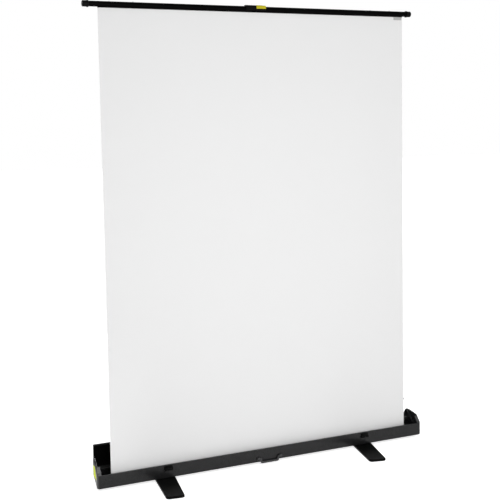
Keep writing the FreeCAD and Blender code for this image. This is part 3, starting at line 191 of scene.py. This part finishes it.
def grained(name, color, rough, metal=0.0, grain=900.0, bump=0.15, vary=0.06, spec=0.5, stretch=1.0,
            lean=0.0):
    """A finish with fine grain, drawn out along its length, and broad handling marks in colour and gloss."""
    mat, tree, shader = new_material(name)
    coords = tree.nodes.new("ShaderNodeTexCoord")
    mapping = tree.nodes.new("ShaderNodeMapping")
    mapping.vector_type = "TEXTURE"
    mapping.inputs["Rotation"].default_value = (0, lean, 0)
    mapping.inputs["Scale"].default_value = (stretch, 1, 1)
    noise = tree.nodes.new("ShaderNodeTexNoise")
    noise.inputs["Scale"].default_value = grain
    noise.inputs["Detail"].default_value = GRAIN_DETAIL
    tree.links.new(coords.outputs["Object"], mapping.inputs["Vector"])
    tree.links.new(mapping.outputs["Vector"], noise.inputs["Vector"])
    marks = tree.nodes.new("ShaderNodeTexNoise")
    marks.inputs["Scale"].default_value = HANDLING_SCALE
    marks.inputs["Detail"].default_value = HANDLING_DETAIL
    tree.links.new(coords.outputs["Object"], marks.inputs["Vector"])
    blend = tree.nodes.new("ShaderNodeMix")
    blend.inputs["Factor"].default_value = HANDLING_SHARE
    tree.links.new(noise.outputs["Fac"], blend.inputs["A"])
    tree.links.new(marks.outputs["Fac"], blend.inputs["B"])
    ramp = tree.nodes.new("ShaderNodeValToRGB")
    dark, light = ramp.color_ramp.elements
    dark.position = TINT_FROM
    light.position = TINT_TO
    dark.color = [c * (1 - vary) for c in color] + [1]
    light.color = [min(1, c * (1 + vary)) for c in color] + [1]
    tree.links.new(blend.outputs["Result"], ramp.inputs["Fac"])
    tree.links.new(ramp.outputs["Color"], shader.inputs["Base Color"])
    spread = tree.nodes.new("ShaderNodeMapRange")
    spread.inputs["From Min"].default_value = GLOSS_FROM
    spread.inputs["From Max"].default_value = GLOSS_TO
    spread.inputs["To Min"].default_value = rough * GLOSS_LOW
    spread.inputs["To Max"].default_value = min(1.0, rough * GLOSS_HIGH)
    tree.links.new(blend.outputs["Result"], spread.inputs["Value"])
    tree.links.new(spread.outputs["Result"], shader.inputs["Roughness"])
    shader.inputs["Metallic"].default_value = metal
    shader.inputs["Specular IOR Level"].default_value = spec
    relief = tree.nodes.new("ShaderNodeBump")
    relief.inputs["Strength"].default_value = bump
    relief.inputs["Distance"].default_value = GRAIN_DEPTH
    tree.links.new(noise.outputs["Fac"], relief.inputs["Height"])
    tree.links.new(relief.outputs["Normal"], shader.inputs["Normal"])
    return mat


def woven(name, color):
    """Matte screen cloth: a fine crossed weave with a faint uneven whiteness."""
    mat, tree, shader = new_material(name)
    coords = tree.nodes.new("ShaderNodeTexCoord")
    weave = tree.nodes.new("ShaderNodeMath")
    weave.operation = "MULTIPLY"
    for place, axis in enumerate(("X", "Z")):
        threads = tree.nodes.new("ShaderNodeTexWave")
        threads.bands_direction = axis
        threads.inputs["Scale"].default_value = THREAD_SCALE
        tree.links.new(coords.outputs["Object"], threads.inputs["Vector"])
        tree.links.new(threads.outputs["Fac"], weave.inputs[place])
    cloud = tree.nodes.new("ShaderNodeTexNoise")
    cloud.inputs["Scale"].default_value = WHITENESS_SCALE
    tree.links.new(coords.outputs["Object"], cloud.inputs["Vector"])
    ramp = tree.nodes.new("ShaderNodeValToRGB")
    dark, light = ramp.color_ramp.elements
    dark.color = [c * WHITENESS_LOW for c in color] + [1]
    light.color = list(color) + [1]
    tree.links.new(cloud.outputs["Fac"], ramp.inputs["Fac"])
    tree.links.new(ramp.outputs["Color"], shader.inputs["Base Color"])
    shader.inputs["Roughness"].default_value = CLOTH_ROUGH
    shader.inputs["Specular IOR Level"].default_value = CLOTH_SPEC
    relief = tree.nodes.new("ShaderNodeBump")
    relief.inputs["Strength"].default_value = THREAD_BUMP
    relief.inputs["Distance"].default_value = THREAD_DEPTH
    tree.links.new(weave.outputs["Value"], relief.inputs["Height"])
    tree.links.new(relief.outputs["Normal"], shader.inputs["Normal"])
    return mat


def painted_light_on_back(mat, back_painted_light, inner_rough):
    """Lighten the base colour of the faces that look backwards as painted light, and make them glossier; the
    others stay matt.
    """
    tree = mat.node_tree
    shader = tree.nodes["Principled BSDF"]
    coords = tree.nodes.new("ShaderNodeTexCoord")
    split = tree.nodes.new("ShaderNodeSeparateXYZ")
    tree.links.new(coords.outputs["Normal"], split.inputs["Vector"])
    back = tree.nodes.new("ShaderNodeMath")
    back.operation = "GREATER_THAN"
    back.inputs[1].default_value = LOOKS_BACK
    tree.links.new(split.outputs["Y"], back.inputs[0])
    inside = shader.inputs["Base Color"].links[0].from_socket
    # painted light: the faces that look backwards get the lighter base colour
    paint = tree.nodes.new("ShaderNodeMix")
    paint.data_type = "RGBA"
    paint.inputs["B"].default_value = (back_painted_light, back_painted_light, back_painted_light, 1)
    tree.links.new(back.outputs["Value"], paint.inputs["Factor"])
    tree.links.new(inside, paint.inputs["A"])
    tree.links.new(paint.outputs["Result"], shader.inputs["Base Color"])
    sheen = shader.inputs["Roughness"].links[0].from_socket
    gloss = tree.nodes.new("ShaderNodeMix")
    gloss.inputs["A"].default_value = inner_rough
    tree.links.new(back.outputs["Value"], gloss.inputs["Factor"])
    tree.links.new(sheen, gloss.inputs["B"])
    tree.links.new(gloss.outputs["Result"], shader.inputs["Roughness"])
    return mat


PANEL = grained("panel satin black", (0.009, 0.009, 0.0095), 0.28, grain=1400, bump=0.06, vary=0.10,
                spec=0.23)
CAP = grained("cap moulded black", (0.010, 0.010, 0.011), 0.32, grain=1100, bump=0.12, vary=0.10)
TRAY = grained("tray dark paint", (0.006, 0.006, 0.006), 0.5, grain=1200, bump=0.12, spec=0.2)
LID = grained("lid black paint", (0.001, 0.001, 0.001), 0.34, grain=1300, bump=0.10, spec=0.035)
BLACK = grained("black moulding", (0.002, 0.002, 0.002), 0.4, grain=1000, bump=0.18, vary=0.1, spec=0.05)
BAR = grained("bar black anodised", (0.0008, 0.0008, 0.0008), 0.35, grain=1500, bump=0.06, vary=0.1,
              spec=0.02, stretch=20)
ARM_RISING = grained("arm brushed, rising", ARM_COLOR, 0.36, metal=0.9, grain=700, bump=0.10, vary=0.10,
                     stretch=30, lean=-ARM_LEAN)
ARM_FALLING = grained("arm brushed, falling", ARM_COLOR, 0.36, metal=0.9, grain=700, bump=0.10, vary=0.10,
                      stretch=30, lean=ARM_LEAN)
STEEL = grained("plated steel", (0.46, 0.46, 0.48), 0.3, metal=1.0, grain=900, bump=0.08, vary=0.06)
SCREW = grained("blackened screw", (0.05, 0.05, 0.054), 0.38, metal=1.0, grain=900, bump=0.08, vary=0.10)
FOOT = grained("foot dark paint", (0.002, 0.002, 0.002), 0.34, grain=1200, bump=0.08, vary=0.10, spec=0.03)
RUBBER = grained("pad rubber", (0.02, 0.02, 0.02), 0.85, grain=1500, bump=0.35, vary=0.12)
NYLON = grained("nylon", (0.72, 0.71, 0.68), 0.5, grain=800, bump=0.12, vary=0.03)
CLOTH = woven("screen cloth", (0.84, 0.84, 0.84))
YELLOW = grained("plain yellow patch", (0.52, 0.45, 0.012), 0.5, grain=900, bump=0.06, vary=0.04, spec=0.2)
LIME = grained("plain lime patch", (0.82, 0.94, 0.010), 0.5, grain=900, bump=0.06, vary=0.04, spec=0.2)
CORNER_GREY = woven("corner grey strip", (0.47, 0.47, 0.47))

SLOT_FINISH = {
    "tray_metal": TRAY,
    "panel_metal": PANEL,
    "cap_plastic": CAP,
    "lid_metal": LID,
    "black_plastic": BLACK,
    "steel": STEEL,
    "bar_metal": BAR,
    "arm_metal": ARM_RISING,
    "foot_metal": FOOT,
    "pad_rubber": RUBBER,
    "nylon": NYLON,
    "sheet_fabric": CLOTH,
}
OWN_FINISH = {
    "lower_arm_right": ARM_FALLING,
    "upper_arm_left": ARM_FALLING,
    "carry_handle": CAP,
    "carry_handle_lugs": CAP,
    "end_cap_screws": SCREW,
    # lid: painted light on the faces that look backwards, matt on the others
    "lid": painted_light_on_back(LID, LID_BACK_PAINTED_LIGHT, LID_INNER_ROUGH),
}
for entry in frame["record"]["subparts"]:
    piece = nodes[entry["node"]]
    piece.data.materials.clear()
    piece.data.materials.append(OWN_FINISH.get(entry["node"], SLOT_FINISH[entry["material_slot"]]))


# Modelling helpers


def fresh():
    bpy.ops.object.select_all(action="DESELECT")


def apply_all(obj):
    fresh()
    obj.select_set(True)
    bpy.context.view_layer.objects.active = obj
    bpy.ops.object.transform_apply(location=True, rotation=True, scale=True)
    for modifier in list(obj.modifiers):
        bpy.ops.object.modifier_apply(modifier=modifier.name)


def dress(obj, name, material, body):
    obj.name = name
    obj.data.name = name
    obj.data.materials.append(material)
    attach(obj, body)


def pick(obj, test):
    """Select the vertices that pass a test, in edit mode."""
    bpy.ops.mesh.select_all(action="DESELECT")
    mesh = bmesh.from_edit_mesh(obj.data)
    for vertex in mesh.verts:
        vertex.select = test(vertex.co)
    mesh.select_flush(True)
    bmesh.update_edit_mesh(obj.data)


def patch(name, low, high, material, body, cuts=()):
    """A thin plate with eased edges, such as a stuck-on patch, with sides cut off by planes."""
    fresh()
    size = Vector(high) - Vector(low)
    bpy.ops.mesh.primitive_cube_add(size=1, location=(Vector(low) + Vector(high)) / 2)
    obj = bpy.context.object
    obj.scale = size
    apply_all(obj)
    bpy.ops.object.mode_set(mode="EDIT")
    for point, outward in cuts:
        bpy.ops.mesh.select_all(action="SELECT")
        bpy.ops.mesh.bisect(plane_co=point, plane_no=Vector(outward).normalized(), use_fill=True,
                            clear_outer=True)
    bpy.ops.mesh.select_all(action="SELECT")
    bpy.ops.mesh.normals_make_consistent(inside=False)
    bpy.ops.object.mode_set(mode="OBJECT")
    edge = obj.modifiers.new("edge", "BEVEL")
    edge.width = PATCH_EDGE
    edge.segments = 3
    apply_all(obj)
    dress(obj, name, material, body)


# Screen sheet


def screen_sheet():
    """One cloth held between roller and hem, its sides drawn in towards the middle."""
    fresh()
    height = SHEET_TOP - SHEET_LOW
    bpy.ops.mesh.primitive_grid_add(x_subdivisions=SHEET_COLUMNS, y_subdivisions=SHEET_ROWS, size=1)
    obj = bpy.context.object
    obj.scale = (2 * SHEET_HALF, height, 1)
    obj.rotation_euler = (math.pi / 2, 0, 0)
    obj.location = (0, SHEET_Y, (SHEET_LOW + SHEET_TOP) / 2)
    apply_all(obj)
    bpy.ops.object.mode_set(mode="EDIT")
    step = height / SHEET_ROWS
    for row in range(1, SHEET_ROWS):
        z = SHEET_LOW + row * step
        share = 4 * (row / SHEET_ROWS) * (1 - row / SHEET_ROWS)
        drawn = 1 - share * SHEET_WAIST / SHEET_HALF
        pick(obj, lambda co: abs(co.z - z) < step / 4)
        bpy.ops.transform.resize(value=(drawn, 1, 1), center_override=(0, SHEET_Y, z))
    bpy.ops.object.mode_set(mode="OBJECT")
    ripple = bpy.data.textures.new("slack", "CLOUDS")
    ripple.noise_scale = SLACK_SPREAD
    slack = obj.modifiers.new("slack", "DISPLACE")
    slack.texture = ripple
    slack.texture_coords = "LOCAL"
    slack.direction = "Y"
    slack.strength = SLACK_DEPTH
    slack.mid_level = 0.5
    cloth = obj.modifiers.new("cloth", "SOLIDIFY")
    cloth.thickness = SHEET_THICK
    cloth.offset = 0
    apply_all(obj)
    bpy.ops.object.shade_smooth_by_angle(angle=SMOOTH_BELOW)
    dress(obj, "screen_cloth", CLOTH, "base")
    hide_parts("screen_sheet")
    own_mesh(obj)


# Patches, grey strip and covers


def grip_patch():
    """A yellow patch that goes from the front of the lift handle over its rounded top edge."""
    low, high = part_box("lift_handle")
    turn_z = high.z - GRIP_ROUND
    foot_z = low.z + GRIP_PATCH_RISE
    fresh()
    bpy.ops.mesh.primitive_plane_add(size=1)
    obj = bpy.context.object
    obj.scale = (GRIP_PATCH_LENGTH, turn_z - foot_z, 1)
    obj.rotation_euler = (math.pi / 2, 0, 0)
    obj.location = (high.x - GRIP_PATCH_LENGTH / 2 - GRIP_PATCH_INSET, low.y - GRIP_PATCH_OUT,
                    (turn_z + foot_z) / 2)
    apply_all(obj)
    bpy.ops.object.mode_set(mode="EDIT")
    pick(obj, lambda co: co.z > turn_z - SAME_PLACE)
    bpy.ops.mesh.spin(steps=GRIP_PATCH_STEPS, angle=GRIP_PATCH_WRAP, axis=(1, 0, 0),
                      center=(0, low.y + GRIP_ROUND, turn_z))
    bpy.ops.mesh.select_all(action="SELECT")
    bpy.ops.mesh.remove_doubles(threshold=1e-6)
    bpy.ops.mesh.bisect(plane_co=(high.x - GRIP_SLOPE, 0, high.z + GRIP_PATCH_LIFT),
                        plane_no=(GRIP_SLOPE_DROP, 0, GRIP_SLOPE), clear_outer=True)
    bpy.ops.mesh.select_all(action="SELECT")
    bpy.ops.mesh.normals_make_consistent(inside=False)
    bpy.ops.object.mode_set(mode="OBJECT")
    film = obj.modifiers.new("film", "SOLIDIFY")
    film.thickness = GRIP_PATCH_THICK
    film.offset = 0
    edge = obj.modifiers.new("edge", "BEVEL")
    edge.width = GRIP_PATCH_EDGE
    edge.segments = 2
    edge.limit_method = "ANGLE"
    apply_all(obj)
    bpy.ops.object.shade_smooth_by_angle(angle=SMOOTH_BELOW)
    dress(obj, "grip_patch", YELLOW, "top_bar")


def bay_cover(name, side, cap_end):
    """A thin moulded cover lying on the sloping underside of an end cap."""
    fresh()
    bpy.ops.mesh.primitive_plane_add(size=1)
    obj = bpy.context.object
    obj.scale = (COVER_REAR_Y - COVER_FRONT_Y, COVER_HIGH - COVER_LOW, 1)
    obj.rotation_euler = (math.pi / 2, 0, math.pi / 2)
    obj.location = (0, (COVER_REAR_Y + COVER_FRONT_Y) / 2, (COVER_HIGH + COVER_LOW) / 2)
    apply_all(obj)
    bpy.ops.object.mode_set(mode="EDIT")
    bpy.ops.mesh.select_all(action="SELECT")
    bpy.ops.mesh.bisect(plane_co=COVER_SLANT_AT, plane_no=COVER_SLANT_OUT, clear_outer=True)
    for corner in [vertex.co.copy() for vertex in bmesh.from_edit_mesh(obj.data).verts]:
        back = (corner.y - SLOPE_START_Y) / SLOPE_RUN
        up = (corner.z - SLOPE_START_Z) / SLOPE_RISE
        pick(obj, lambda co: (co - corner).length < SAME_PLACE)
        bpy.ops.transform.translate(value=(side * (cap_end - SLOPE_DEPTH * (back - up)), 0, 0))
    bpy.ops.object.mode_set(mode="OBJECT")
    wall = obj.modifiers.new("wall", "SOLIDIFY")
    wall.thickness = COVER_THICK
    wall.offset = 0
    edge = obj.modifiers.new("edge", "BEVEL")
    edge.width = PATCH_EDGE
    edge.segments = 3
    apply_all(obj)
    dress(obj, name, CAP, "base")


screen_sheet()
grip_patch()
left_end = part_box("end_cap_left")[0].x
right_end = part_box("end_cap_right")[1].x
patch("cap_patch", (left_end - CAP_PATCH_OUT, CAP_PATCH_FRONT_Y, CAP_PATCH_LOW),
      (left_end + CAP_PATCH_IN, CAP_PATCH_REAR_Y, CAP_PATCH_HIGH), LIME, "base",
      CAP_PATCH_CUTS)
bay_cover("bay_cover_left", -1, right_end)
bay_cover("bay_cover_right", 1, right_end)
# a grey strip on the top right corner of the sheet
patch("corner_grey_strip", (STRIP_LEFT_X, SHEET_Y - STRIP_FRONT, STRIP_LOW),
      (STRIP_RIGHT_X, SHEET_Y - STRIP_BACK, STRIP_HIGH), CORNER_GREY, "top_bar")


# Floor, light and camera


def hang(light, at, aim):
    lamp = bpy.data.objects.new(light.name, light)
    bpy.context.scene.collection.objects.link(lamp)
    lamp.location = at
    lamp.rotation_euler = (Vector(aim) - Vector(at)).to_track_quat("-Z", "Y").to_euler()


def backdrop_rays(tree):
    """1 for the rays that show the backdrop: seen directly, mirrored or looked at through glass."""
    path = tree.nodes.new("ShaderNodeLightPath")
    rays = path.outputs["Is Camera Ray"]
    for kind in ("Is Glossy Ray", "Is Transmission Ray"):
        either = tree.nodes.new("ShaderNodeMath")
        either.operation = "ADD"
        either.use_clamp = True
        tree.links.new(rays, either.inputs[0])
        tree.links.new(path.outputs[kind], either.inputs[1])
        rays = either.outputs["Value"]
    return rays


def pale_floor():
    fresh()
    bpy.ops.mesh.primitive_plane_add(size=FLOOR_SIZE, location=(0, 0, 0))
    floor = bpy.context.object
    floor.name = "floor"
    mat, tree, shader = new_material("pale floor")
    shader.inputs["Base Color"].default_value = (FLOOR_SHADE, FLOOR_SHADE, FLOOR_SHADE, 1)
    shader.inputs["Roughness"].default_value = FLOOR_ROUGH
    shader.inputs["Emission Color"].default_value = WHITE
    glow = tree.nodes.new("ShaderNodeMath")
    glow.operation = "MULTIPLY"
    glow.inputs[1].default_value = FLOOR_GLOW
    tree.links.new(backdrop_rays(tree), glow.inputs[0])
    tree.links.new(glow.outputs["Value"], shader.inputs["Emission Strength"])
    floor.data.materials.append(mat)


def room():
    world = bpy.data.worlds.new("studio")
    bpy.context.scene.world = world
    world.use_nodes = True
    tree = world.node_tree
    tree.nodes.clear()
    out = tree.nodes.new("ShaderNodeOutputWorld")
    seen = tree.nodes.new("ShaderNodeBackground")
    seen.inputs["Color"].default_value = WHITE
    seen.inputs["Strength"].default_value = BACKDROP_WHITE
    fill = tree.nodes.new("ShaderNodeBackground")
    fill.inputs["Color"].default_value = WHITE
    fill.inputs["Strength"].default_value = ROOM_FILL
    mix = tree.nodes.new("ShaderNodeMixShader")
    tree.links.new(backdrop_rays(tree), mix.inputs["Fac"])
    tree.links.new(fill.outputs["Background"], mix.inputs[1])
    tree.links.new(seen.outputs["Background"], mix.inputs[2])
    tree.links.new(mix.outputs["Shader"], out.inputs["Surface"])


def lamps():
    for name, at, aim, size, power in LAMPS:
        light = bpy.data.lights.new(name, "AREA")
        light.size = size
        light.energy = power
        hang(light, at, aim)
    beam = bpy.data.lights.new("cap beam", "SPOT")
    beam.energy = BEAM_POWER
    beam.shadow_soft_size = BEAM_RADIUS
    beam.spot_size = BEAM_ANGLE
    beam.spot_blend = BEAM_BLEND
    hang(beam, BEAM_AT, BEAM_AIM)


def camera():
    forward = Vector((math.sin(CAMERA_YAW) * math.cos(CAMERA_PITCH),
                      math.cos(CAMERA_YAW) * math.cos(CAMERA_PITCH), -math.sin(CAMERA_PITCH)))
    right = Vector((math.cos(CAMERA_YAW), -math.sin(CAMERA_YAW), 0))
    up = right.cross(forward)
    tilt_right = right * math.cos(CAMERA_ROLL) - up * math.sin(CAMERA_ROLL)
    tilt_up = right * math.sin(CAMERA_ROLL) + up * math.cos(CAMERA_ROLL)
    data = bpy.data.cameras.new("camera")
    data.lens = CAMERA_LENS
    data.sensor_width = CAMERA_SENSOR
    data.shift_x = CAMERA_SHIFT_X
    data.shift_y = CAMERA_SHIFT_Y
    cam = bpy.data.objects.new("camera", data)
    bpy.context.scene.collection.objects.link(cam)
    basis = Matrix((tilt_right, tilt_up, -forward)).transposed().to_4x4()
    cam.matrix_world = Matrix.Translation(CAMERA_AT) @ basis
    bpy.context.scene.camera = cam


pale_floor()
room()
lamps()
camera()
bpy.context.scene.view_settings.view_transform = "Standard"
